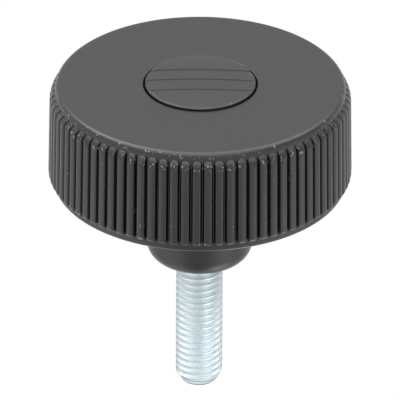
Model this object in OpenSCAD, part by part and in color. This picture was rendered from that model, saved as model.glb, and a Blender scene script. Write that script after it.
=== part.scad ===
// Knurled knob with a moulded-in hexagon screw and a snap-in cover cap.
// All sizes are in millimetres. Z runs along the screw, and Z = 0 is the hub's seat face.
// The screw's thread stands out below the seat, and the knob's flat top faces up.

/* [Rim] */
// Diameter over the grip ridges, at half their height
knob_d = 63; // [56:0.5:72]
// Height of the flat top above the hub's seat face
knob_h = 40.8; // [39:0.1:46]
// Height of the rim's lower edge above the seat face
hub_h = 18; // [14:0.5:22]
// Radius round the edge of the flat top
top_edge_r = 1.2; // [0.5:0.1:1.2]
// Radius round the rim's lower edge
lower_edge_r = 0.8; // [0.3:0.1:1.2]
// Taper of the rim's walls in degrees, which lets it leave the mould
draft = 1.1; // [0:0.1:1.5]

/* [Grip ridges] */
// Number of ridges round the rim
ridge_count = 83; // [60:1:90]
// How far a ridge stands out of the rim
ridge_h = 1.05; // [0.7:0.05:1.15]
// Gap between the feet of two ridges
ridge_foot_gap = 0.1; // [0.08:0.02:0.4]
// Slant of a ridge's sides in degrees, which makes the gap wider towards the ridges' tops
ridge_slant = 20; // [8:1:22]
// Radius across a ridge's crown
ridge_crown_r = 2; // [1.3:0.1:4]
// Radius along the two outer edges of a ridge
ridge_corner_r = 0.25; // [0.15:0.05:0.4]
// Radius of the long curve that brings a ridge down into the rim at its upper end
ridge_upper_r = 2.6; // [1.2:0.1:3.2]
// The same at its lower end
ridge_lower_r = 1.2; // [1.2:0.1:3.2]
// Radius of the corners of a ridge's ends, seen from in front of it
ridge_tip_r = 0.85; // [0.3:0.05:0.9]
// Plain band between the flat top and the ridges
upper_band_h = 1.6; // [1.25:0.05:3]
// Plain band between the ridges and the rim's lower edge
lower_band_h = 1.65; // [1.2:0.05:3]

/* [Shell] */
// Wall under the flat top
top_wall = 3; // [2.2:0.1:4]
// Wall of the rim, behind the ridges
rim_wall = 2.8; // [2:0.1:4]
// Wall of the collar round the cap's well
collar_wall = 2.4; // [1.8:0.1:3.5]
// Number of webs that join the hub to the rim
web_count = 6; // [3:1:8]
// Thickness of a web
web_t = 2; // [1.5:0.1:3]
// Height of the webs' lower edge above the rim's lower edge
web_inset = 2; // [1:0.5:5]
// Radius of the fillets where the rim and the collar meet the top wall
shell_fillet_r = 1.5; // [0.5:0.1:2]

/* [Hub] */
// Diameter of the hub
hub_d = 22.2; // [20:0.1:25]
// Radius round the hub's seat face
hub_edge_r = 3.6; // [1:0.1:3.8]
// Width of the relief round the thread, in the seat face
relief_w = 0.7; // [0.4:0.1:1.2]
// Depth of the relief
relief_h = 0.5; // [0.3:0.1:1]

/* [Cap] */
// Diameter of the hole in the flat top
cap_hole_d = 23.8; // [22.8:0.1:25.6]
// Gap all round between the cap's disc and the hole
cap_gap = 0.35; // [0.2:0.05:0.6]
// Thickness of the disc at its edge
disc_h = 2.65; // [2.3:0.05:3.2]
// How far the disc's edge stands above the flat top
disc_proud = 0.65; // [0.3:0.05:0.9]
// Extra height of the disc's domed middle
dome_h = 0.2; // [0.1:0.05:0.5]
// Radius round the disc's upper edge
disc_edge_r = 0.6; // [0.3:0.05:0.8]
// Number of grooves across the disc
groove_count = 3; // [1:1:5]
// Distance from groove to groove
groove_pitch = 4.28; // [2:0.02:4.5]
// Width of a groove
groove_w = 1.15; // [0.6:0.05:1.6]
// Depth of a groove in the middle of the disc
groove_depth = 0.3; // [0.15:0.05:0.6]

/* [Snap ring] */
// Gap between the screw's head and the snap ring round it
head_room = 0.26; // [0.15:0.01:0.5]
// Wall of the snap ring
ring_wall = 0.95; // [0.7:0.05:1.1]
// Gap between the snap ring and the well's wall
ring_gap = 0.15; // [0.05:0.05:0.3]
// Length of the snap ring below the disc
ring_h = 3.9; // [3.2:0.1:5]
// How far the snap bead stands out of the ring
bead_out = 0.4; // [0.2:0.05:0.5]
// Length of the snap bead along the ring
bead_l = 1.2; // [0.8:0.1:1.4]
// Plain end of the ring below the bead
bead_lead = 0.4; // [0.2:0.1:0.8]
// Gap between the bead and its groove in the well
bead_gap = 0.2; // [0.1:0.05:0.25]
// Number of slots that split the ring into springing legs
slot_count = 4; // [2:1:6]
// Width of a slot
slot_w = 3; // [1.5:0.1:4]
// Free height under the end of the ring
ring_room = 0.7; // [0.3:0.1:1.2]

/* [Screw] */
// Outer diameter of the thread, an M10 in the middle of its tolerance
thread_d = 9.85; // [7.8:0.05:10.5]
// Pitch of the thread
thread_pitch = 1.5; // [1:0.25:1.75]
// Length of thread below the seat face
thread_l = 30; // [15:5:60]
// Length of the chamfer at the thread's end
tip_l = 2; // [1:0.1:2.5]
// How far the chamfer takes the thread's end in
tip_in = 1.3; // [0.5:0.1:2]
// Width of the hexagon head across its flats
head_af = 16; // [13:0.5:17]
// Height of the head
head_h = 6.4; // [5.5:0.1:7]
// Depth that the head is bedded in the hub
head_bed_h = 4.1; // [3:0.1:5]
// Gap that the nylon leaves round the head and the shank as it cools
bed_gap = 0.05; // [0.02:0.01:0.1]

/* [Hidden] */
$fn = 96;
small_fn = 24;
// Overlap of two shapes that are joined into one solid, or of a cut past the face that it opens
bite = 0.5;
// Small distance that keeps two faces from lying in one plane
hair = 0.03;

// Rim: its taper is measured from the middle of the ridges
ridge_top_z = knob_h - upper_band_h;
ridge_low_z = hub_h + lower_band_h;
ridge_l = ridge_top_z - ridge_low_z;
ridge_mid_z = (ridge_top_z + ridge_low_z) / 2;
root_r = knob_d / 2 - ridge_h;
ridge_foot_w = 2 * PI * root_r / ridge_count - ridge_foot_gap;
ceiling_z = knob_h - top_wall;

// Screw
thread_r = thread_d / 2;
pitch_r = thread_r - 0.3248 * thread_pitch;
bore_r = pitch_r + bed_gap;
head_r = head_af / 2 / cos(30);

// Cap, from the head outwards and from the disc down
ring_in_r = head_r + head_room;
ring_r = ring_in_r + ring_wall;
well_r = ring_r + ring_gap;
hole_r = cap_hole_d / 2;
disc_r = hole_r - cap_gap;
disc_edge_z = knob_h + disc_proud;
disc_top_z = disc_edge_z + dome_h;
ledge_z = disc_edge_z - disc_h;
ring_end_z = ledge_z - ring_h;
bead_z = ring_end_z + bead_lead + bead_l / 2;

// Bed of the head, and the collar round the well
bed_top_z = ring_end_z - ring_room;
seat_z = bed_top_z - head_bed_h;
hub_r = hub_d / 2;
collar_r = well_r + collar_wall;
collar_low_z = seat_z - (collar_r - hub_r);

// Radius of the rim's plain outer wall, and of its inner wall, at height z
function wall_r(z) = root_r - (z - ridge_mid_z) * tan(draft);
function inner_r(z) = wall_r(z) - rim_wall;

// Points of an arc of radius r about [x, y], from angle a to angle b
function arc(x, y, r, a, b, steps = 6) = [
    for (i = [0 : steps])
        let (t = a + (b - a) * i / steps)
        [x + r * cos(t), y + r * sin(t)]
];

// Section across a ridge: a straight foot inside the rim, slanted sides, two rounded corners
// and a crown that touches both of them
module ridge_section() {
    crown_x = ridge_h - ridge_crown_r;
    reach = ridge_crown_r - ridge_corner_r;
    side_push = ridge_foot_w / 2 * cos(ridge_slant) - crown_x * sin(ridge_slant);
    turn = asin((side_push - ridge_corner_r) / reach) - ridge_slant;
    corner_x = crown_x + reach * cos(turn);
    corner_y = reach * sin(turn);
    side_x = corner_x + ridge_corner_r * sin(ridge_slant);
    side_y = corner_y + ridge_corner_r * cos(ridge_slant);
    joint_x = crown_x + ridge_crown_r * cos(turn);
    joint_y = ridge_crown_r * sin(turn);
    foot_y = ridge_foot_w / 2;
    polygon([
        [-bite, -foot_y], [0, -foot_y], [side_x, -side_y], [joint_x, -joint_y],
        [joint_x, joint_y], [side_x, side_y], [0, foot_y], [-bite, foot_y]
    ]);
    for (side = [-1, 1])
        translate([corner_x, side * corner_y])
            circle(ridge_corner_r, $fn = small_fn);
    intersection() {
        translate([crown_x, 0])
            circle(ridge_crown_r, $fn = small_fn);
        translate([joint_x, -joint_y])
            square([ridge_h, 2 * joint_y]);
    }
}

// Length of the curve of radius r that comes down from a ridge's crown to the rim
function run_out(r) = sqrt(r * r - pow(r - ridge_h, 2));

// Section along a ridge, whose crown runs down to the rim in a curve at both ends
module ridge_profile() {
    ends = [[1, ridge_upper_r], [-1, ridge_lower_r]];
    crown_top = ridge_l / 2 - run_out(ridge_upper_r);
    crown_low = ridge_l / 2 - run_out(ridge_lower_r);
    translate([-bite, -crown_low])
        square([ridge_h + bite, crown_low + crown_top]);
    intersection() {
        translate([-bite, -ridge_l / 2 - bite])
            square([ridge_h + 2 * bite, ridge_l + 2 * bite]);
        for (end = ends)
            translate([ridge_h - end[1], end[0] * (ridge_l / 2 - run_out(end[1]))])
                circle(end[1], $fn = small_fn);
    }
}

// Outline of a ridge seen from in front of it, with four rounded corners
module ridge_outline() {
    corner_x = ridge_l / 2 - ridge_tip_r;
    corner_y = ridge_foot_w / 2 + hair - ridge_tip_r;
    square([ridge_l, 2 * corner_y], center = true);
    square([2 * corner_x, 2 * (corner_y + ridge_tip_r)], center = true);
    for (x = [-corner_x, corner_x], y = [-corner_y, corner_y])
        translate([x, y])
            circle(ridge_tip_r, $fn = small_fn);
}

// One grip ridge
module ridge() {
    intersection() {
        linear_extrude(ridge_l + 2 * bite, center = true)
            ridge_section();
        rotate([90, 0, 0])
            linear_extrude(ridge_foot_w + 2 * bite, center = true)
                ridge_profile();
        rotate([0, 90, 0])
            linear_extrude(2 * (ridge_h + bite), center = true)
                ridge_outline();
    }
}

module grip_ridges() {
    for (i = [0 : ridge_count - 1])
        rotate([0, 0, i * 360 / ridge_count])
            translate([root_r, 0, ridge_mid_z])
                rotate([0, -draft, 0])
                    ridge();
}

// Hub, collar, top wall and rim as one turned shape, still without its bore and well
module turned_shell() {
    rotate_extrude()
        polygon(concat(
            [[0, 0]],
            arc(hub_r - hub_edge_r, hub_edge_r, hub_edge_r, -90, 0),
            [[hub_r, collar_low_z], [collar_r, seat_z]],
            arc(collar_r + shell_fillet_r, ceiling_z - shell_fillet_r, shell_fillet_r, 180, 90),
            arc(inner_r(ceiling_z) - shell_fillet_r, ceiling_z - shell_fillet_r, shell_fillet_r, 90, 0),
            [[inner_r(hub_h), hub_h]],
            arc(wall_r(hub_h) - lower_edge_r, hub_h + lower_edge_r, lower_edge_r, -90, 0),
            arc(wall_r(knob_h) - top_edge_r, knob_h - top_edge_r, top_edge_r, 0, 90),
            [[0, knob_h]]
        ));
}

module webs() {
    low_z = hub_h + web_inset;
    for (i = [0 : web_count - 1])
        rotate([0, 0, (i + 0.5) * 360 / web_count])
            translate([hub_r - bite, -web_t / 2, low_z])
                cube([inner_r(low_z) - hub_r + 2 * bite, web_t, ceiling_z - low_z + bite]);
}

// Everything that is taken out of the middle: bore, relief, head bed, well, bead groove and cap hole
module well_and_bore() {
    translate([0, 0, -bite])
        cylinder(r = bore_r, h = seat_z + 2 * bite);
    translate([0, 0, -bite])
        cylinder(r = thread_r + relief_w, h = relief_h + bite);
    translate([0, 0, seat_z])
        cylinder(r = head_r + bed_gap / cos(30), h = head_bed_h + bite, $fn = 6);
    translate([0, 0, bed_top_z])
        cylinder(r = well_r, h = knob_h - bed_top_z + bite);
    translate([0, 0, ledge_z])
        cylinder(r = hole_r, h = knob_h - ledge_z + bite);
    rotate_extrude()
        bead_section(bead_gap);
}

// Section of the snap bead, or of its groove when it is grown by a gap
module bead_section(gap = 0) {
    half = bead_l / 2 + gap;
    inside = ring_r - ring_wall / 2;
    outside = ring_r + bead_out + gap;
    polygon([
        [inside, bead_z - half],
        [ring_r + gap / 2, bead_z - half],
        [outside, bead_z - bead_l / 6],
        [outside, bead_z + bead_l / 6],
        [ring_r + gap / 2, bead_z + half],
        [inside, bead_z + half]
    ]);
}

module knob_body() {
    color("#2f3031")
        difference() {
            union() {
                turned_shell();
                webs();
                grip_ridges();
            }
            well_and_bore();
        }
}

// Domed disc of the cap, with its rounded edge
module cap_disc() {
    dome_r = disc_r - disc_edge_r;
    ball_r = (dome_r * dome_r + dome_h * dome_h) / (2 * dome_h);
    half_angle = asin(dome_r / ball_r);
    rotate_extrude()
        polygon(concat(
            [[0, ledge_z], [disc_r, ledge_z]],
            arc(dome_r, disc_edge_z - disc_edge_r, disc_edge_r, 0, 90 - half_angle),
            arc(0, disc_top_z - ball_r, ball_r, 90 - half_angle, 90, 8)
        ));
}

module cap_grooves() {
    for (i = [0 : groove_count - 1])
        translate([
            -disc_r - bite,
            (i - (groove_count - 1) / 2) * groove_pitch - groove_w / 2,
            disc_top_z - groove_depth
        ])
            cube([2 * (disc_r + bite), groove_w, groove_depth + bite]);
}

// Split ring under the disc: its legs spring in, and its bead snaps into the well's groove
module snap_ring() {
    difference() {
        rotate_extrude() {
            translate([ring_in_r, ring_end_z])
                square([ring_wall, ring_h + bite]);
            bead_section();
        }
        for (i = [0 : slot_count - 1])
            rotate([0, 0, (i + 0.5) * 360 / slot_count])
                translate([ring_in_r - ring_wall, -slot_w / 2, ring_end_z - bite])
                    cube([3 * ring_wall, slot_w, ring_h + bite]);
    }
}

module cover_cap() {
    color("#343536")
        difference() {
            union() {
                cap_disc();
                snap_ring();
            }
            cap_grooves();
        }
}

// Hexagon head with its top corners turned off
module screw_head() {
    flat_r = 0.475 * head_af;
    corner_drop = (head_r - flat_r) * tan(30);
    translate([0, 0, seat_z])
        intersection() {
            cylinder(r = head_r, h = head_h, $fn = 6);
            rotate_extrude()
                polygon([
                    [0, 0],
                    [head_r + bite, 0],
                    [head_r + bite, head_h - corner_drop - bite * tan(30)],
                    [flat_r, head_h],
                    [0, head_h]
                ]);
        }
}

// Head, shank bedded in the hub, and the thread as a plain cylinder with its chamfered end
module hex_screw() {
    color("#c9ced2")
        union() {
            screw_head();
            translate([0, 0, -bite])
                cylinder(r = pitch_r, h = seat_z + 2 * bite);
            translate([0, 0, tip_l - thread_l])
                cylinder(r = thread_r, h = thread_l - tip_l);
            translate([0, 0, -thread_l])
                cylinder(r1 = thread_r - tip_in, r2 = thread_r, h = tip_l);
        }
}

knob_body();
cover_cap();
hex_screw();
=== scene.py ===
# %% [markdown]
# # A knurled hand knob with a threaded stud
#
# The knob has three real pieces: a black nylon moulding with a ridged rim, a snap-in
# cover cap of the same nylon, and a zinc-plated hexagon screw moulded into the hub.
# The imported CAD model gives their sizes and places. This lesson builds the surfaces:
# plain mesh code makes one pitch of the rim and one turn of the thread, Geometry Nodes
# repeat them, and procedural materials finish the three pieces.

import math

import bmesh
import bpy
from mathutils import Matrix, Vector


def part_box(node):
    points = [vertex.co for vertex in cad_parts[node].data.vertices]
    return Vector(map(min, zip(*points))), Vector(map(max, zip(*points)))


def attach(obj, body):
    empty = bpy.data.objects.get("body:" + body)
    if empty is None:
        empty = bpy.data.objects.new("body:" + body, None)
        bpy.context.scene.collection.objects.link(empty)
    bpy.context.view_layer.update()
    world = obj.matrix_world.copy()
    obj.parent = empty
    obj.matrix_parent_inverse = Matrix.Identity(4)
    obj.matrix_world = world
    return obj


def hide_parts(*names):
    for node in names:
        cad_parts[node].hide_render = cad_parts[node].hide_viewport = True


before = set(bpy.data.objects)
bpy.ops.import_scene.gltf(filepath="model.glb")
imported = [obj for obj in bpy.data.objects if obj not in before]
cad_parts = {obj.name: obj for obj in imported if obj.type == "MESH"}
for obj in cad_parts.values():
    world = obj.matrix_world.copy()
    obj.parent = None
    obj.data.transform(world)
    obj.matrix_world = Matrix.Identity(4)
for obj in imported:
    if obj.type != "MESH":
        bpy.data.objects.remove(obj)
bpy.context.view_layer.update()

# %% [markdown]
# ## Small helpers
#
# All outlines below are written in millimetres, as on a drawing, and become metres when
# they turn into a mesh. One function adds a node to any tree, with its settings and its
# links. What goes into the node is given by socket name, or in the order of its sockets.
# Another runs a Geometry Nodes tree and keeps its result as a plain mesh, so that what
# stays is ordinary geometry and not a live modifier.

# %% Helpers for outlines and meshes
MM = 0.001
# Points this close are one point: within a piece, and where copies of a piece meet
TOUCHING = 0.0005 * MM
MEETING = 0.002 * MM


def arc(x, y, radius, start, end, steps):
    """Points of an arc about (x, y), between two angles in degrees."""
    angles = [math.radians(start + (end - start) * i / steps) for i in range(steps + 1)]
    return [(x + radius * math.cos(a), y + radius * math.sin(a)) for a in angles]


def turned(radius, angle, z):
    """A point in metres from a radius and a height in millimetres and an angle in radians."""
    return Vector((radius * math.cos(angle), radius * math.sin(angle), z)) * MM


def new_object(name, points, faces):
    """A mesh object at the origin, from points in metres."""
    mesh = bpy.data.meshes.new(name)
    mesh.from_pydata([tuple(p) for p in points], [], faces)
    obj = bpy.data.objects.new(name, mesh)
    bpy.context.scene.collection.objects.link(obj)
    return obj


def tidy_mesh(obj, sharp_angle=35):
    """Turns all faces outwards and shades the mesh smooth, with its real corners kept sharp."""
    work = bmesh.new()
    work.from_mesh(obj.data)
    bmesh.ops.remove_doubles(work, verts=work.verts, dist=TOUCHING)
    bmesh.ops.recalc_face_normals(work, faces=work.faces)
    work.to_mesh(obj.data)
    work.free()
    obj.data.shade_smooth()
    obj.data.set_sharp_from_angle(angle=math.radians(sharp_angle))


def join(pieces, name):
    """Joins objects into the first one and gives it a name."""
    with bpy.context.temp_override(
        active_object=pieces[0], object=pieces[0], selected_editable_objects=pieces
    ):
        bpy.ops.object.join()
    pieces[0].name = name
    return pieces[0]


print("a quarter arc of 8 steps has", len(arc(0, 0, 1, 0, 90, 8)), "points")

# %% Helpers for node trees
MATH = "ShaderNodeMath"
RANGE = "ShaderNodeMapRange"
SMOOTH = {"interpolation_type": "SMOOTHSTEP"}


def add(tree, kind, inputs=(), **settings):
    """Adds a node. Its inputs, in a row or by name, are values, sockets or nodes.

    A node stands for its first output, and a socket is linked.
    """
    node = tree.nodes.new(kind)
    for name, value in settings.items():
        setattr(node, name, value)
    pairs = inputs.items() if isinstance(inputs, dict) else enumerate(inputs)
    for key, value in pairs:
        if isinstance(value, bpy.types.Node):
            value = value.outputs[0]
        if isinstance(value, bpy.types.NodeSocket):
            tree.links.new(value, node.inputs[key])
        else:
            node.inputs[key].default_value = value
    return node


def geometry_tree(name, sizes):
    """An empty Geometry Nodes tree with its geometry sockets and the named sizes it takes."""
    tree = bpy.data.node_groups.new(name, "GeometryNodeTree")
    tree.interface.new_socket("Geometry", in_out="INPUT", socket_type="NodeSocketGeometry")
    for size, kind in sizes.items():
        tree.interface.new_socket(size, in_out="INPUT", socket_type=kind)
    tree.interface.new_socket("Geometry", in_out="OUTPUT", socket_type="NodeSocketGeometry")
    return tree


def run_tree(obj, tree, values):
    """Runs a tree on an object with the given input values and keeps the result as its mesh."""
    modifier = obj.modifiers.new(tree.name, "NODES")
    modifier.node_group = tree
    for item in tree.interface.items_tree:
        if item.in_out == "INPUT" and item.name in values:
            modifier[item.identifier] = values[item.name]
    evaluated = obj.evaluated_get(bpy.context.evaluated_depsgraph_get())
    mesh = bpy.data.meshes.new_from_object(evaluated)
    obj.modifiers.clear()
    obj.data = mesh
    print(f"{obj.name}: {tree.name} made {len(mesh.polygons)} faces")


print("node types that recur:", MATH, "and", RANGE)

# %% [markdown]
# ## Camera
#
# The knob is seen from 30 degrees above the bench through a very long lens, so its
# circles are almost true ellipses. An orthographic camera would come close, but it would
# lose the slight narrowing towards the foot of the stud. The camera aims at a point on
# the knob's axis and is turned a little about its own line of sight.

# %% Camera
FRAME_PX = 400
LENS_PX = 7700
SENSOR = 36.0
view_elevation = math.radians(29.6)
view_roll = math.radians(0.3)
view_distance = 1.612
aim = Vector((0.00004, 0, 0.013))

camera_data = bpy.data.cameras.new("camera")
camera_data.sensor_width = SENSOR
camera_data.lens = SENSOR * LENS_PX / FRAME_PX
camera_data.clip_end = 20
camera = bpy.data.objects.new("camera", camera_data)
bpy.context.scene.collection.objects.link(camera)
line_of_sight = Vector((0, -math.cos(view_elevation), math.sin(view_elevation)))
camera.location = aim + line_of_sight * view_distance
camera.rotation_euler = line_of_sight.to_track_quat("Z", "Y").to_euler()
camera.rotation_euler.rotate_axis("Z", view_roll)
bpy.context.scene.camera = camera
print("lens, mm:", round(camera_data.lens, 1))

# %% [markdown]
# ## The ring of copies
#
# A moulded rim is a pattern: every pitch is the same. So one thin wedge of the knob is
# modelled, and a Geometry Nodes tree sets copies of it round the axis, welds them and
# gives them their material. An array modifier could do this too, but the tree shows the
# count and the start angle as inputs, and the same tree also repeats the webs under the
# rim and the legs of the cap's snap ring.

# %% Tree: ring of copies
ring_tree = geometry_tree(
    "ring_of_copies",
    {
        "Copies": "NodeSocketInt",
        "Start angle": "NodeSocketFloat",
        "Weld distance": "NodeSocketFloat",
        "Material": "NodeSocketMaterial",
    },
)
given = add(ring_tree, "NodeGroupInput").outputs
places = add(ring_tree, "GeometryNodeMeshLine", {"Count": given["Copies"], "Offset": (0, 0, 0)})
step = add(ring_tree, MATH, (math.tau, given["Copies"]), operation="DIVIDE")
number = add(ring_tree, "GeometryNodeInputIndex")
turn = add(ring_tree, MATH, (number, step, given["Start angle"]), operation="MULTIPLY_ADD")
about_axis = add(ring_tree, "ShaderNodeCombineXYZ", {"Z": turn})
copies = add(
    ring_tree,
    "GeometryNodeInstanceOnPoints",
    {"Points": places, "Instance": given["Geometry"], "Rotation": about_axis},
)
real = add(ring_tree, "GeometryNodeRealizeInstances", {"Geometry": copies})
welded = add(
    ring_tree,
    "GeometryNodeMergeByDistance",
    {"Geometry": real, "Distance": given["Weld distance"]},
)
finished = add(
    ring_tree, "GeometryNodeSetMaterial", {"Geometry": welded, "Material": given["Material"]}
)
add(ring_tree, "NodeGroupOutput", {"Geometry": finished})
print("ring tree nodes:", len(ring_tree.nodes))

# %% [markdown]
# ## Finishes
#
# Both plastic pieces are moulded in black polyamide with glass fibre. The mould's
# surface is spark-eroded, so the nylon comes out matt with a fine pitted grain. Where it
# is knocked in the box, the black turns white in small specks: on the rim's edge, at the
# ridges' ends and here and there along them. So the specks are tied to heights. A
# painted image could hold them too, but noise cut off at a level needs no file and no
# unwrapping. Colours are given as hex values, as a paint chart gives them, and turned to
# linear.

# %% Colour and the bare material
def linear(hex_colour):
    """Linear RGBA from an sRGB hex colour."""
    channels = [int(hex_colour[i : i + 2], 16) / 255 for i in (1, 3, 5)]
    return tuple(
        c / 12.92 if c <= 0.04045 else ((c + 0.055) / 1.055) ** 2.4 for c in channels
    ) + (1.0,)


def new_material(name):
    """A material with its main shader alone, and the tree and the shader to build on."""
    material = bpy.data.materials.new(name)
    material.use_nodes = True
    tree = material.node_tree
    tree.nodes.clear()
    shader = add(tree, "ShaderNodeBsdfPrincipled")
    add(tree, "ShaderNodeOutputMaterial", {"Surface": shader})
    return material, tree, shader


def height_band(tree, place, low, high, soft):
    """One between two heights in millimetres and zero beyond them, with a soft border."""
    z = add(tree, "ShaderNodeSeparateXYZ", (place,)).outputs["Z"]
    rise = add(tree, RANGE, (z, (low - soft) * MM, low * MM, 0.0, 1.0), **SMOOTH)
    fall = add(tree, RANGE, (z, (high + soft) * MM, high * MM, 0.0, 1.0), **SMOOTH)
    return add(tree, MATH, (rise, fall), operation="MULTIPLY")


print("mid grey #808080 in linear:", round(linear("#808080")[0], 3))

# %% Moulded nylon
nylon_ior = 1.53
flow_size = 9 * MM
speck_size = 0.6 * MM
speck_white = "#70736f"
grain_size = 0.25 * MM
grain_depth = 0.06 * MM


def moulded_nylon(name, base, fleck, wear_and_shade_bands):
    """Glass-fibre polyamide out of a spark-eroded mould: matt, grained, specked at its edges."""
    material, tree, shader = new_material(name)
    shader.inputs["IOR"].default_value = nylon_ior
    # What it mirrors comes back a trace greener
    shader.inputs["Specular Tint"].default_value = linear("#fbfffc")
    place = add(tree, "ShaderNodeTexCoord").outputs["Object"]

    # Flow of the melt: soft clouds, a few per cent lighter or darker
    flow = {"Vector": place, "Scale": 1 / flow_size, "Detail": 3.0}
    clouds = add(tree, "ShaderNodeTexNoise", flow)
    mix = {0: clouds, 6: linear(base), 7: linear(fleck)}
    colour = add(tree, "ShaderNodeMix", mix, data_type="RGBA").outputs[2]

    # Whitened specks, 0.3 mm to 0.5 mm, where the noise passes the band's level
    dents = {"Vector": place, "Scale": 1 / speck_size, "Detail": 2.0}
    knocks = add(tree, "ShaderNodeTexNoise", dents)
    for low, high, least in wear_and_shade_bands:
        speck = add(tree, RANGE, (knocks, least, least + 0.08, 0.0, 1.0), **SMOOTH)
        band = height_band(tree, place, low, high, 0.15)
        share = add(tree, MATH, (speck, band), operation="MULTIPLY")
        mix = {0: share, 6: colour, 7: linear(speck_white)}
        colour = add(tree, "ShaderNodeMix", mix, data_type="RGBA").outputs[2]
    tree.links.new(colour, shader.inputs["Base Color"])

    # Grain of the eroded mould is about 0.05 mm; drawn at 0.25 mm so that it shows
    pits = {"Vector": place, "Scale": 1 / grain_size, "Detail": 4.0}
    grain = add(tree, "ShaderNodeTexNoise", pits)
    gloss = add(tree, RANGE, (grain, 0.0, 1.0, 0.26, 0.4), **SMOOTH)
    tree.links.new(gloss.outputs[0], shader.inputs["Roughness"])
    relief = {"Height": grain, "Strength": 0.5, "Distance": grain_depth}
    bump = add(tree, "ShaderNodeBump", relief)
    tree.links.new(bump.outputs[0], shader.inputs["Normal"])
    return material


print("specks about, mm:", speck_size / MM / 2, " grain drawn at, mm:", grain_size / MM)

# %% Heights that wear, in mm: low, high and the noise level from which a speck shows
top_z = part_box("knob_body")[1].z / MM
ridge_feet_z = 20.6
rim_edge = (top_z - 1.1, top_z - 0.3, 0.63)
ridge_tops = (top_z - 3.4, top_z - 2.2, 0.6)
ridge_lengths = (ridge_feet_z, top_z - 3.4, 0.7)
ridge_feet = (ridge_feet_z - 0.8, ridge_feet_z, 0.6)
cap_edge = (top_z + 0.1, top_z + 0.4, 0.66)
body_wear = [rim_edge, ridge_tops, ridge_lengths, ridge_feet]
body_nylon = moulded_nylon("moulded_black_nylon", "#090a09", "#0f100f", body_wear)
cap_nylon = moulded_nylon("moulded_black_nylon_cap", "#0c0d0c", "#121312", [cap_edge])
print("nylon nodes:", len(body_nylon.node_tree.nodes), "and", len(cap_nylon.node_tree.nodes))

# %% [markdown]
# The screw is steel with bright zinc plating. Its thread is rolled, which leaves fine
# lines round it, so the shine is soft along the screw and sharp across it: that is what
# the anisotropy does, with the screw's axis as its direction. Passivation gives faint
# clouds in the blue-white of the zinc. The point is painted darker, as painted shade
# where it stands on the table, and a fine darker line of painted shadow runs round it
# where the thread starts.

# %% Bright zinc plating
cloud_size = 4 * MM


def zinc_plating(name, base, cloud, wear_and_shade_bands):
    """Bright zinc on a rolled thread: metal, soft along the axis, faint clouds, painted shade in
    bands.
    """
    material, tree, shader = new_material(name)
    shader.inputs["Metallic"].default_value = 1.0
    # A dark tint at the edges, so that flanks seen at a grazing angle don't flare
    shader.inputs["Specular Tint"].default_value = linear("#404040")
    shader.inputs["Anisotropic"].default_value = 0.9
    along = add(tree, "ShaderNodeCombineXYZ", {"Z": 1.0})
    tree.links.new(along.outputs[0], shader.inputs["Tangent"])
    place = add(tree, "ShaderNodeTexCoord").outputs["Object"]
    film = {"Vector": place, "Scale": 1 / cloud_size, "Detail": 3.0}
    clouds = add(tree, "ShaderNodeTexNoise", film)
    mix = {0: clouds, 6: linear(base), 7: linear(cloud)}
    colour = add(tree, "ShaderNodeMix", mix, data_type="RGBA").outputs[2]
    # Each band paints shade into the colour: the point darker, as in the shadow where it stands,
    # and a darker line where the thread starts
    for low, high, painted_shade_colour in wear_and_shade_bands:
        mix = {0: height_band(tree, place, low, high, 0.1), 6: colour, 7: linear(painted_shade_colour)}
        colour = add(tree, "ShaderNodeMix", mix, data_type="RGBA").outputs[2]
    tree.links.new(colour, shader.inputs["Base Color"])
    gloss = add(tree, RANGE, (clouds, 0.0, 1.0, 0.4, 0.48), **SMOOTH)
    tree.links.new(gloss.outputs[0], shader.inputs["Roughness"])
    return material


tip_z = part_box("hex_screw")[0].z / MM
# Painted shade on the point, and a line of painted shadow where the thread starts
point_painted_shade = (tip_z, tip_z + 0.25, "#70787a")
thread_start_painted_shadow = (tip_z + 1.1, tip_z + 1.25, "#a9b1b3")
zinc = zinc_plating("bright_zinc_plating", "#dcecec", "#e4eaf1", [point_painted_shade, thread_start_painted_shadow])
print("materials:", [m.name for m in bpy.data.materials])

# %% [markdown]
# ## The moulded knob: one pitch of the rim
#
# The rim has 83 ridges, an odd number that comes from a pitch of 2.4 mm at the crowns.
# Each ridge stands about a millimetre out of the wall. Its sides slant, so that it
# leaves the mould, its crown has rounded edges, and the gap between two ridges is
# narrow at the bottom. Above, a long curve brings the crown down to the wall, and
# below a short one does. A displaced cylinder would need far more faces for edges as
# crisp as these. So one wedge is a section across the ridge (plan) swept along heights
# (rows), and each row asks the plan for its own crown height. The parts without ridges
# need fewer points round the axis, so those rows are coarse, and two flat rings join
# them to the fine rows.

# %% Sizes of the knob, from the frame and the ridge's own sizes
knob_r = 31.5
rim_low_z = 18.0
ridge_count = 83
first_ridge = math.radians(-0.13)
ridge_h = 1.05
ridge_foot_gap = 0.1
ridge_slant = math.radians(20)
ridge_crown_r = 2.0
ridge_corner_r = 0.25
ridge_upper_r = 2.6
ridge_lower_r = 1.2
ridge_tip_r = 0.85
ridge_low_z = rim_low_z + 1.65
ridge_top_z = top_z - 1.6
draft = math.tan(math.radians(1.1))
root_r = knob_r - ridge_h
ridge_mid_z = (ridge_low_z + ridge_top_z) / 2
pitch = math.tau * root_r / ridge_count
ridge_foot = (pitch - ridge_foot_gap) / 2


def wall_r(z):
    """Radius of the rim's plain wall at height z."""
    return root_r - (z - ridge_mid_z) * draft


print("pitch, mm:", round(pitch, 3))
print("width of a ridge at its foot, mm:", round(2 * ridge_foot, 3))

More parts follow.
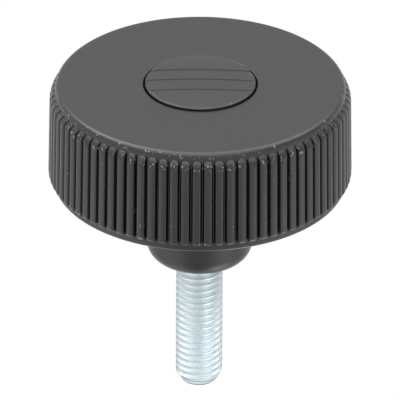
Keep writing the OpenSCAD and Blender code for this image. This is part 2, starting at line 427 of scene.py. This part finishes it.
# %% Section across one ridge
def ridge_half_section():
    """Half of a ridge's section from its middle to its foot: (along, height)."""
    crown_h = ridge_h - ridge_crown_r
    reach = ridge_crown_r - ridge_corner_r
    side_y = ridge_foot * math.cos(ridge_slant) - crown_h * math.sin(ridge_slant)
    turn = math.asin((side_y - ridge_corner_r) / reach) - ridge_slant
    side = 90 - math.degrees(ridge_slant)
    edge = math.degrees(turn)
    crown = arc(crown_h, 0, ridge_crown_r, 0, edge, 3)
    corner_h = crown_h + reach * math.cos(turn)
    corner_y = reach * math.sin(turn)
    corner = arc(corner_h, corner_y, ridge_corner_r, edge, side, 4)
    low_h, low_y = corner[-1]
    down = [(low_y + t * (ridge_foot - low_y), low_h * (1 - t)) for t in (0.25, 0.5, 0.75, 1)]
    return [(y, h) for h, y in crown[:-1] + corner] + down


def ridge_plan(crown_h, inset):
    """Section of a ridge that is crown_h high and inset narrower on each side: (along, height)."""
    half = [(y * (1 - inset / ridge_foot), min(h, crown_h)) for y, h in ridge_half_section()]
    half += [(pitch / 2, 0)]
    return [(-y, h) for y, h in reversed(half[1:])] + half


def ridge_end(radius, steps=10):
    """Rows of a ridge's end, from the wall to the crown: (depth, crown height, inset)."""
    length = math.sqrt(radius**2 - (radius - ridge_h) ** 2)
    rows = []
    for i in range(steps + 1):
        depth = length * (i / steps) ** 1.8
        crown_h = ridge_h - radius + math.sqrt(radius**2 - (length - depth) ** 2)
        inside = max(ridge_tip_r - depth, 0)
        inset = ridge_tip_r - math.sqrt(ridge_tip_r**2 - inside**2)
        rows.append((depth, max(crown_h, 0), inset))
    return rows


print("points across one pitch:", len(ridge_plan(ridge_h, 0)))
run_outs = [round(ridge_end(r)[-1][0], 2) for r in (ridge_upper_r, ridge_lower_r)]
print("upper and lower run-out, mm:", run_outs)

# %% Rows up the outside of the rim: radius, height, crown height, inset
top_edge_r = 1.2
lower_edge_r = 0.8


def rim_rows():
    """Rows from the rim's lower edge, up over the ridge's two ends, to the top's edge."""
    edge_r = lower_edge_r
    lower_edge = arc(wall_r(rim_low_z) - edge_r, rim_low_z + edge_r, edge_r, -90, 0, 6)
    rows = [(r, z, 0, ridge_tip_r) for r, z in lower_edge]
    for depth, crown_h, inset in ridge_end(ridge_lower_r):
        z = ridge_low_z + depth
        rows.append((wall_r(z), z, crown_h, inset))
    for depth, crown_h, inset in reversed(ridge_end(ridge_upper_r)):
        z = ridge_top_z - depth
        rows.append((wall_r(z), z, crown_h, inset))
    edge_r = top_edge_r
    upper_edge = arc(wall_r(top_z) - edge_r, top_z - edge_r, edge_r, 0, 90, 8)
    rows += [(r, z, 0, ridge_tip_r) for r, z in upper_edge]
    return rows


print("rows up the rim:", len(rim_rows()))

# %% [markdown]
# The rest of the moulding is turned: from the flat top down the cap's hole and well, out
# of the bore and round the hub, then up into the hollow underside and down the inside of
# the rim. It is one closed outline, so the finished mesh has no open edge. A Spin of the
# outline would do for this part alone, but then its points would not meet the rim's.

# %% Section of the rest of the knob, from the top's edge round to the rim's lower edge
hole_r = 11.9
ledge_z = top_z - 2.0
well_r = 10.6
bed_top_z = ledge_z - 4.6
seat_z = bed_top_z - 4.1
bed_r = 9.29
bore_r = 4.49
relief_r = 5.625
relief_h = 0.5
relief_edge_r = 0.1
hub_r = 11.1
hub_edge_r = 3.6
collar_r = 13.0
ceiling_z = top_z - 3.0
rim_wall = 2.8
shell_fillet_r = 1.5
mouth_r = 0.15
foot_r = 0.3
# Rings that cut the flat top into shorter faces, from its edge to the cap's hole
flat_rings_r = (wall_r(top_z) - top_edge_r - 1.2, 21.0, hole_r + 1.0)


def inner_r(z):
    """Radius of the rim's inside at height z."""
    return wall_r(z) - rim_wall


def turned_section():
    """Outline of all that has no ridges, as (radius, height)."""
    section = [(r, top_z) for r in flat_rings_r]
    section += arc(hole_r + mouth_r, top_z - mouth_r, mouth_r, 90, 180, 3)
    section += [(hole_r, ledge_z), (well_r, ledge_z), (well_r, bed_top_z), (bed_r, bed_top_z)]
    section += [(bed_r, seat_z), (bore_r, seat_z), (bore_r, relief_h), (relief_r, relief_h)]
    section += arc(relief_r + relief_edge_r, relief_edge_r, relief_edge_r, 180, 270, 2)
    section += arc(hub_r - hub_edge_r, hub_edge_r, hub_edge_r, -90, 0, 12)
    section += [(hub_r, seat_z - (collar_r - hub_r)), (collar_r, seat_z)]
    fillet_z = ceiling_z - shell_fillet_r
    section += arc(collar_r + shell_fillet_r, fillet_z, shell_fillet_r, 180, 90, 5)
    section += arc(inner_r(ceiling_z) - shell_fillet_r, fillet_z, shell_fillet_r, 90, 0, 5)
    section += arc(inner_r(rim_low_z) + foot_r, rim_low_z + foot_r, foot_r, 180, 270, 2)
    return section


print("points of the turned outline:", len(turned_section()))

# %% Mesh of one pitch
def pitch_wedge():
    """One pitch of the knob: fine rows outside, coarse rows elsewhere, and two rings between."""
    # Fine rows over the ridge
    points = []
    faces = []
    for radius, z, crown_h, inset in rim_rows():
        plan = ridge_plan(crown_h, inset)
        points += [turned(radius + h, y / (root_r + h), z) for y, h in plan]
    fine = len(plan)
    row_count = len(points) // fine
    for row in range(row_count - 1):
        for column in range(fine - 1):
            a = row * fine + column
            faces.append((a, a + 1, a + fine + 1, a + fine))

    # Coarse rows of three points on the turned outline
    half_angle = pitch / 2 / root_r
    coarse_start = len(points)
    section = turned_section()
    for radius, z in section:
        points += [turned(radius, angle, z) for angle in (-half_angle, 0, half_angle)]
    for row in range(len(section) - 1):
        for column in range(2):
            a = coarse_start + row * 3 + column
            faces.append((a, a + 1, a + 4, a + 3))

    # At both ends a half of the fine row joins one step of the coarse row in one face
    middle = fine // 2
    last_fine = (row_count - 1) * fine
    last_coarse = coarse_start + (len(section) - 1) * 3
    for coarse_row, fine_row in ((coarse_start, last_fine), (last_coarse, 0)):
        for half in range(2):
            span = range(fine_row + half * middle, fine_row + (half + 1) * middle + 1)
            faces.append((coarse_row + half + 1, coarse_row + half, *span))
    return new_object("knob_shell", points, faces)


shell = pitch_wedge()
print("faces of one pitch:", len(shell.data.polygons))

# %% The whole knob, out of 83 pitches
run_tree(
    shell,
    ring_tree,
    {
        "Copies": ridge_count,
        "Start angle": first_ridge,
        "Weld distance": MEETING,
        "Material": body_nylon,
    },
)
tidy_mesh(shell)

# %% [markdown]
# ## Webs under the rim
#
# Thin webs tie the hub to the rim where the moulding is hollow, because a thick solid
# rim would sink and warp as it cools. They could be part of the wedge, but there are six
# of them to 83 ridges. So one web is a plate with its lower edge rounded, and the same
# ring tree sets six of them.

# %% Webs
web_count = 6
web_t = 2.0
web_low_z = rim_low_z + 2.0
web_edge_r = 0.4
web_root = 0.5


def web_plate():
    """A web across the hollow, from inside the hub's wall to inside the rim's wall."""
    edge = arc(web_t / 2 - web_edge_r, web_low_z + web_edge_r, web_edge_r, 0, -90, 4)
    outline = [(web_t / 2, ceiling_z + web_root)] + edge
    outline += [(-y, z) for y, z in reversed(outline)]
    ends = (hub_r - web_root, inner_r(web_low_z) + web_root)
    points = [Vector((x, y, z)) * MM for x in ends for y, z in outline]
    n = len(outline)
    faces = [(i, (i + 1) % n, n + (i + 1) % n, n + i) for i in range(n)]
    faces += [tuple(range(n)), tuple(range(2 * n - 1, n - 1, -1))]
    return new_object("web", points, faces)


webs = web_plate()
run_tree(
    webs,
    ring_tree,
    {
        "Copies": web_count,
        "Start angle": math.pi / web_count,
        "Weld distance": 0.0,
        "Material": body_nylon,
    },
)
tidy_mesh(webs)
knob = join([shell, webs], "knob_shell")
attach(knob, "root")
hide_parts("knob_body")
print("knob triangles:", sum(len(p.vertices) - 2 for p in knob.data.polygons))

# %% [markdown]
# ## The cover cap
#
# The cap closes the well over the screw's head. Its disc is slightly domed, has a
# rounded edge and three shallow grooves straight across. A disc with straight grooves is
# awkward to turn on a lathe, so its top is a field of heights instead: rows run along
# the grooves, each row is as long as the disc is wide there, and the height follows the
# dome, the edge and the grooves. The edge loop is then drawn down and closed.

# %% Heights of the cap's top
disc_r = 11.55
disc_edge_z = top_z + 0.45
dome_h = 0.4
disc_edge_r = 0.4
groove_pitch = 4.28
groove_places = (-groove_pitch, 0, groove_pitch)
groove_w = 1.15
groove_depth = 0.1
groove_soft = 0.05
dome_r = disc_r - disc_edge_r
ball_r = (dome_r**2 + dome_h**2) / (2 * dome_h)


def disc_height(x, y):
    """Height of the disc's top at a place, from its dome, its rounded edge and its grooves."""
    r = math.hypot(x, y)
    if r > dome_r:
        fall = min(r - dome_r, disc_edge_r)
        z = disc_edge_z - disc_edge_r + math.sqrt(disc_edge_r**2 - fall**2)
    else:
        z = disc_edge_z + dome_h - ball_r + math.sqrt(ball_r**2 - r**2)
    for centre in groove_places:
        into = (groove_w / 2 + groove_soft / 2 - abs(y - centre)) / groove_soft
        share = min(max(into, 0), 1)
        z -= groove_depth * share * share * (3 - 2 * share)
    return z


def disc_rows():
    """Places of the rows: even in angle towards the edge, and close together at the grooves."""
    rows = [disc_r * math.sin(math.radians(a)) for a in range(-90, 91, 3)]
    edge = groove_w / 2
    near = [-0.5, -0.25, 0, 0.25, 0.5]
    marks = [side * (edge + t * groove_soft) for side in (-1, 1) for t in near]
    for centre in groove_places:
        rows = [y for y in rows if abs(y - centre) > edge + groove_soft]
        rows += [centre + m for m in marks]
    return sorted(rows)


print("middle of the cap above the flat top, mm:", round(disc_height(0, 2) - top_z, 2))

# %% Disc of the cap
disc_low_z = ledge_z
disc_low_edge = 0.3


def cap_disc():
    """The disc: a field of heights whose edge is drawn down, in a little, and closed."""
    columns = [math.sin(math.radians(a)) for a in range(-90, 91, 3)]
    points = []
    for y in disc_rows():
        half = math.sqrt(max(disc_r**2 - y**2, 0))
        points += [Vector((t * half, y, disc_height(t * half, y))) * MM for t in columns]
    wide = len(columns)
    row_starts = range(0, len(points), wide)
    faces = [
        (a, a + 1, a + wide + 1, a + wide)
        for start in row_starts[:-1]
        for a in range(start, start + wide - 1)
    ]

    # The edge goes up the rows' right ends and comes back down their left ends
    loop = [start + wide - 1 for start in row_starts]
    loop += list(row_starts[-2:0:-1])
    edge = [points[i] for i in loop]
    for share, z in ((1.0, disc_low_z + disc_low_edge), (1 - disc_low_edge / disc_r, disc_low_z)):
        lower = range(len(points), len(points) + len(edge))
        points += [Vector((p.x * share, p.y * share, z * MM)) for p in edge]
        for i in range(len(edge)):
            faces.append((loop[i - 1], loop[i], lower[i], lower[i - 1]))
        loop = lower
    faces.append(tuple(loop))
    return new_object("cover_cap_disc", points, faces)


disc = cap_disc()
disc.data.materials.append(cap_nylon)
tidy_mesh(disc, 50)
print("cap faces:", len(disc.data.polygons))

# %% [markdown]
# Under the disc four springing legs with a bead hold the cap in the well. A Boolean could
# cut four slots out of a full ring, but it would leave thin stray faces. So one leg is a
# sector of a turned ring, and the ring tree repeats it.

# %% Legs of the snap ring
leg_count = 4
ring_in_r = 9.5
ring_r = 10.45
ring_end_z = ledge_z - 3.9
ring_root_z = ledge_z + 0.3
bead_out = 0.4
bead_l = 1.2
bead_z = ring_end_z + 0.4 + bead_l / 2
slot_w = 3.0


def snap_leg():
    """One leg: the ring's section with its bead, from one slot to the next."""
    section = [(ring_in_r, ring_end_z), (ring_r, ring_end_z), (ring_r, bead_z - bead_l / 2)]
    section += [(ring_r + bead_out, bead_z - bead_l / 6), (ring_r + bead_out, bead_z + bead_l / 6)]
    section += [(ring_r, bead_z + bead_l / 2), (ring_r, ring_root_z), (ring_in_r, ring_root_z)]
    half = math.pi / leg_count - math.asin(slot_w / 2 / ring_r)
    steps = 14
    angles = [-half + 2 * half * i / steps for i in range(steps + 1)]
    points = [turned(r, a, z) for a in angles for r, z in section]
    n = len(section)
    faces = [
        (i * n + j, i * n + (j + 1) % n, (i + 1) * n + (j + 1) % n, (i + 1) * n + j)
        for i in range(steps)
        for j in range(n)
    ]
    faces += [tuple(range(n)), tuple(range(steps * n, steps * n + n))]
    return new_object("snap_leg", points, faces)


legs = snap_leg()
run_tree(
    legs,
    ring_tree,
    {"Copies": leg_count, "Start angle": 0.0, "Weld distance": 0.0, "Material": cap_nylon},
)
tidy_mesh(legs)
cap = join([disc, legs], "cover_cap_disc")
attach(cap, "root")
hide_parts("cover_cap")
print("cap triangles:", sum(len(p.vertices) - 2 for p in cap.data.polygons))

# %% [markdown]
# ## The screw's thread
#
# A rolled M10 thread is one section that goes round and rises by its pitch each turn. A
# Screw modifier could draw it, but its ends would stay open and its point square. So one
# turn is modelled as a band, and a second tree stacks turns along the axis, welds them
# into one skin, turns the point down to its chamfer and draws both ends in to the axis,
# which closes them. The rule in the tree is: below the point's height nothing may be
# wider than zero, and above it nothing may be wider than the chamfer's cone.

# %% Tree: stack of turns
turns_tree = geometry_tree(
    "stack_of_turns",
    {
        "Turns": "NodeSocketInt",
        "Pitch": "NodeSocketFloat",
        "Tip height": "NodeSocketFloat",
        "Tip radius": "NodeSocketFloat",
        "Cone slope": "NodeSocketFloat",
        "Top height": "NodeSocketFloat",
        "Weld distance": "NodeSocketFloat",
        "Material": "NodeSocketMaterial",
    },
)
given = add(turns_tree, "NodeGroupInput").outputs
rise = add(turns_tree, "ShaderNodeCombineXYZ", {"Z": given["Pitch"]})
places = add(turns_tree, "GeometryNodeMeshLine", {"Count": given["Turns"], "Offset": rise})
stacked = add(
    turns_tree,
    "GeometryNodeInstanceOnPoints",
    {"Points": places, "Instance": given["Geometry"]},
)
real = add(turns_tree, "GeometryNodeRealizeInstances", {"Geometry": stacked})
weld = given["Weld distance"]
skin = add(turns_tree, "GeometryNodeMergeByDistance", {"Geometry": real, "Distance": weld})
print("the tree takes:", [name for name in given.keys() if name])

# %% Tree: where each point of the thread may lie
point = add(turns_tree, "GeometryNodeInputPosition")
xyz = add(turns_tree, "ShaderNodeSeparateXYZ", (point,)).outputs
flat = add(turns_tree, "ShaderNodeCombineXYZ", {"X": xyz["X"], "Y": xyz["Y"]})
length = add(turns_tree, "ShaderNodeVectorMath", (flat,), operation="LENGTH")
radius = length.outputs["Value"]
z_low = add(turns_tree, MATH, (xyz["Z"], given["Tip height"]), operation="MAXIMUM")
z_new = add(turns_tree, MATH, (z_low, given["Top height"]), operation="MINIMUM")
past = add(turns_tree, MATH, (xyz["Z"], z_new), operation="SUBTRACT")
past_size = add(turns_tree, MATH, (past,), operation="ABSOLUTE")
past_share = add(turns_tree, MATH, (past_size, given["Pitch"]), operation="DIVIDE")
draw_in = add(turns_tree, MATH, (1.0, past_share), operation="SUBTRACT", use_clamp=True)
above_tip = add(turns_tree, MATH, (z_new, given["Tip height"]), operation="SUBTRACT")
slope = (above_tip, given["Cone slope"], given["Tip radius"])
cone = add(turns_tree, MATH, slope, operation="MULTIPLY_ADD")
turned_r = add(turns_tree, MATH, (radius, cone), operation="MINIMUM")
new_r = add(turns_tree, MATH, (turned_r, draw_in), operation="MULTIPLY")
scale = add(turns_tree, MATH, (new_r, radius), operation="DIVIDE")
sized = {"Vector": flat, "Scale": scale}
flat_new = add(turns_tree, "ShaderNodeVectorMath", sized, operation="SCALE")
height = add(turns_tree, "ShaderNodeCombineXYZ", {"Z": z_new})
target = add(turns_tree, "ShaderNodeVectorMath", (flat_new, height), operation="ADD")
shaped = add(turns_tree, "GeometryNodeSetPosition", {"Geometry": skin, "Position": target})
closed = add(turns_tree, "GeometryNodeMergeByDistance", {"Geometry": shaped, "Distance": weld})
finished = add(
    turns_tree, "GeometryNodeSetMaterial", {"Geometry": closed, "Material": given["Material"]}
)
add(turns_tree, "NodeGroupOutput", {"Geometry": finished})
print("thread tree nodes:", len(turns_tree.nodes))

# %% Section of the thread
thread_pitch = 1.5
thread_r = 4.925
root_arc_r = 0.2
crest_arc_r = 0.1
crest_flat = 0.12
flank = math.radians(60)


def thread_section():
    """One pitch from the middle of a root over a crest to the next root: (along, radius)."""
    root = [
        (root_arc_r * math.sin(flank * i / 4), root_arc_r * (1 - math.cos(flank * i / 4)))
        for i in range(5)
    ]
    crest = [
        (-crest_arc_r * math.sin(flank * i / 3), -crest_arc_r * (1 - math.cos(flank * i / 3)))
        for i in (3, 2, 1, 0)
    ]
    half_pitch = thread_pitch / 2
    flank_run = half_pitch - crest_flat / 2 - root[-1][0] + crest[0][0]
    depth = flank_run * math.tan(flank) + root[-1][1] - crest[0][1]
    low = [(a, thread_r - depth + h) for a, h in root]
    high = [(half_pitch - crest_flat / 2 + a, thread_r + h) for a, h in crest]
    rising = low + high
    falling = [(thread_pitch - a, r) for a, r in reversed(rising)]
    return rising + falling


print("depth of the thread, mm:", round(thread_r - thread_section()[0][1], 3))

# %% The threaded stud
thread_start = 0.485
thread_top_z = 3.0
tip_l = 2.0
tip_in = 1.3
turns_below = 3
turns_above = 2


def one_turn(start_z, around=72):
    """A band one turn long and one pitch wide, rising to the right as an M10 does."""
    section = thread_section()
    n = len(section)
    points = [
        turned(r, math.tau * i / around, start_z + thread_pitch * i / around + along)
        for i in range(around + 1)
        for along, r in section
    ]
    faces = [
        (i * n + j, (i + 1) * n + j, (i + 1) * n + j + 1, i * n + j + 1)
        for i in range(around)
        for j in range(n - 1)
    ]
    return new_object("stud_thread", points, faces)


turns = math.ceil((thread_top_z - tip_z) / thread_pitch) + turns_below + turns_above
thread = one_turn(tip_z - turns_below * thread_pitch + thread_start)
run_tree(
    thread,
    turns_tree,
    {
        "Turns": turns,
        "Pitch": thread_pitch * MM,
        "Tip height": tip_z * MM,
        "Tip radius": (thread_r - tip_in) * MM,
        "Cone slope": tip_in / tip_l,
        "Top height": thread_top_z * MM,
        "Weld distance": MEETING,
        "Material": zinc,
    },
)
tidy_mesh(thread, 40)

# %% [markdown]
# The head and the plain shank are out of sight under the cap and in the hub, but they
# are part of the same screw: a hexagon with its top corners turned off, on a round bar.
# A six-sided cylinder has no such curved corners, so three rings of points make the head.

# %% Head of the screw
head_af = 16.0
head_h = 6.4
head_steps = 72


def screw_head():
    """The hexagon, with its corners turned off at 0.95 of the width across its flats."""
    corner_r = head_af / 2 / math.cos(math.pi / 6)
    chamfer_r = 0.475 * head_af
    drop = (corner_r - chamfer_r) * math.tan(math.pi / 6)
    angles = [math.tau * i / head_steps for i in range(head_steps)]

    def hexagon(angle):
        return head_af / 2 / math.cos((angle + math.pi / 6) % (math.pi / 3) - math.pi / 6)

    def flank_top(angle):
        share = (hexagon(angle) - chamfer_r) / (corner_r - chamfer_r)
        return seat_z + head_h - drop * share

    points = [turned(hexagon(a), a, seat_z) for a in angles]
    points += [turned(hexagon(a), a, flank_top(a)) for a in angles]
    points += [turned(chamfer_r, a, seat_z + head_h) for a in angles]
    faces = []
    for start in (0, head_steps):
        for i in range(head_steps):
            a = start + i
            b = start + (i + 1) % head_steps
            faces.append((a, b, b + head_steps, a + head_steps))
    faces += [tuple(range(head_steps)), tuple(range(2 * head_steps, 3 * head_steps))]
    return new_object("screw_head", points, faces)


head = screw_head()
print("faces of the head:", len(head.data.polygons))

# %% Shank, and the whole screw
shank_r = 4.438
shank_steps = 48
shank_overlap = 1.0


def screw_shank():
    """The round bar, which ends inside the head and inside the thread."""
    n = shank_steps
    points = [
        turned(shank_r, math.tau * i / n, z)
        for z in (thread_top_z - shank_overlap, seat_z + shank_overlap)
        for i in range(n)
    ]
    faces = [(i, (i + 1) % n, n + (i + 1) % n, n + i) for i in range(n)]
    faces += [tuple(range(n)), tuple(range(n, 2 * n))]
    return new_object("screw_shank", points, faces)


shank = screw_shank()
for part in (head, shank):
    part.data.materials.append(zinc)
    tidy_mesh(part)
screw = join([thread, head, shank], "hex_screw_threaded")
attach(screw, "root")
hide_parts("hex_screw")
print("screw triangles:", sum(len(p.vertices) - 2 for p in screw.data.polygons))

# %% [markdown]
# ## Table and light
#
# Black nylon shows almost nothing of its own colour: what the eye sees on it is the
# room, mirrored weakly and softly. So the room is built as a product studio is, white
# on all sides. The knob stands on a light table, a white sheet lit from below that
# throws no shadow. Every upright wall of the knob mirrors this sheet, each from its own
# bearing, so the sheet's glow is written as a map: even where the camera sees it, dimmer
# in front, which draws the dark band down the hub and the stud, brighter at both sides,
# and dim again at the back on the right. Lamps under the sheet could do the same, but a
# map is easier to steer. Each line of it blends two glows over a bearing, a distance
# from the knob or a place on the sheet.

# %% Light table: the sheet
table_half = 3.0
table_z = tip_z * MM
table = new_object(
    "light_table",
    [(x * table_half, y * table_half, table_z) for x, y in ((-1, -1), (1, -1), (1, 1), (-1, 1))],
    [(0, 1, 2, 3)],
)
sheet, tree, shader = new_material("white_acrylic_sheet")
shader.inputs["Base Color"].default_value = linear("#000000")
shader.inputs["Roughness"].default_value = 1.0
shader.inputs["Specular IOR Level"].default_value = 0.0
shader.inputs["Emission Color"].default_value = linear("#ffffff")
table.data.materials.append(sheet)
print("light table, m:", 2 * table_half, "square at height", round(table_z, 4))

# %% Light table: the map of its glow
middle_glow = 1.0
front_near_glow, front_glow = 0.6, 0.8
left_near_glow, left_glow, left_back_glow = 1.7, 1.5, 1.4
right_near_glow, right_glow, right_back_glow = 4.0, 1.5, 0.48
far_gain = 1.14
horizon_glow = 1.3
near_r, far_r = 40 * MM, 58 * MM

place = add(tree, "ShaderNodeTexCoord").outputs["Object"]
axes = add(tree, "ShaderNodeSeparateXYZ", (place,)).outputs
towards_camera = add(tree, MATH, (axes["Y"], -1.0), operation="MULTIPLY")
bearing = add(tree, MATH, (axes["X"], towards_camera), operation="ARCTAN2")
distance = add(tree, "ShaderNodeVectorMath", (place,), operation="LENGTH").outputs["Value"]
front = add(tree, RANGE, (distance, near_r, far_r, front_near_glow, front_glow), **SMOOTH)
right = add(tree, RANGE, (distance, near_r, far_r, right_near_glow, right_glow), **SMOOTH)
left = add(tree, RANGE, (distance, near_r, far_r, left_near_glow, left_glow), **SMOOTH)
behind = (axes["X"], 43 * MM, 70 * MM, middle_glow, right_back_glow)
far_right = add(tree, RANGE, behind, **SMOOTH)

# Bearings in degrees, 0 towards the camera and 90 to the right, and the glow beyond them
to_right = [(8, 50, right), (65, 110, far_right)]
to_left = [(-10, -55, left), (-100, -140, left_back_glow)]
glow = front
for start, end, beyond in to_right + to_left:
    turn = (bearing, math.radians(start), math.radians(end), glow, beyond)
    glow = add(tree, RANGE, turn, **SMOOTH)
gain = add(tree, RANGE, (distance, 75 * MM, 110 * MM, 1.0, far_gain), **SMOOTH)
glow = add(tree, MATH, (glow, gain), operation="MULTIPLY")
glow = add(tree, RANGE, (distance, 130 * MM, 240 * MM, glow, horizon_glow), **SMOOTH)
glow = add(tree, RANGE, (axes["Y"], -10.5 * MM, -15 * MM, middle_glow, glow), **SMOOTH)
tree.links.new(glow.outputs[0], shader.inputs["Emission Strength"])
print("nodes in the sheet's map:", len(tree.nodes))

# %% [markdown]
# Around the table is a light tent. The world stands for it, because a tent is far away
# and the knob only needs its brightness by direction: a little brighter on the left and
# in front, and much brighter towards the roof, which the cap's domed front mirrors.
# Three softboxes above draw the bright line along the edge of the flat top.

# %% Light tent
tent_back = 0.92
tent_left = 1.2
tent_right = 0.95
tent_front = 1.2
tent_roof = 2.4
world = bpy.data.worlds.new("light_tent")
world.use_nodes = True
bpy.context.scene.world = world
tree = world.node_tree
tree.nodes.clear()
direction = add(tree, "ShaderNodeTexCoord").outputs["Generated"]
upward = add(tree, "ShaderNodeSeparateXYZ", (direction,)).outputs["Z"]
level = add(tree, "ShaderNodeVectorMath", (direction, (1, 1, 0)), operation="MULTIPLY")
heading = add(tree, "ShaderNodeVectorMath", (level,), operation="NORMALIZE")
axes = add(tree, "ShaderNodeSeparateXYZ", (heading,)).outputs
tent = add(tree, RANGE, (axes["X"], -0.35, -0.9, tent_back, tent_left), **SMOOTH)
tent = add(tree, RANGE, (axes["X"], 0.35, 0.9, tent, tent_right), **SMOOTH)
tent = add(tree, RANGE, (axes["Y"], -0.5, -0.95, tent, tent_front), **SMOOTH)
roof = add(tree, RANGE, (upward, 0.52, 0.78, 1.0, tent_roof), **SMOOTH)
tent = add(tree, MATH, (tent, roof), operation="MULTIPLY")
fabric = {"Color": linear("#ffffff"), "Strength": tent}
backdrop = add(tree, "ShaderNodeBackground", fabric)
add(tree, "ShaderNodeOutputWorld", {"Surface": backdrop})
print("nodes in the tent:", len(tree.nodes))

# %% Softboxes
def softbox(name, place, size, power):
    """A square area light that faces the knob."""
    data = bpy.data.lights.new(name, "AREA")
    data.size = size
    data.energy = power
    light = bpy.data.objects.new(name, data)
    light.location = place
    light.rotation_euler = Vector(place).to_track_quat("Z", "Y").to_euler()
    bpy.context.scene.collection.objects.link(light)


softbox("softbox_top", (0, 0.1, 0.8), 0.5, 1.1)
softbox("softbox_left", (-0.36, 0.28, 0.7), 0.4, 2.2)
softbox("softbox_right", (0.36, 0.28, 0.7), 0.4, 1.2)
bpy.context.scene.view_settings.view_transform = "Standard"
print("softboxes:", [light.name for light in bpy.data.lights])
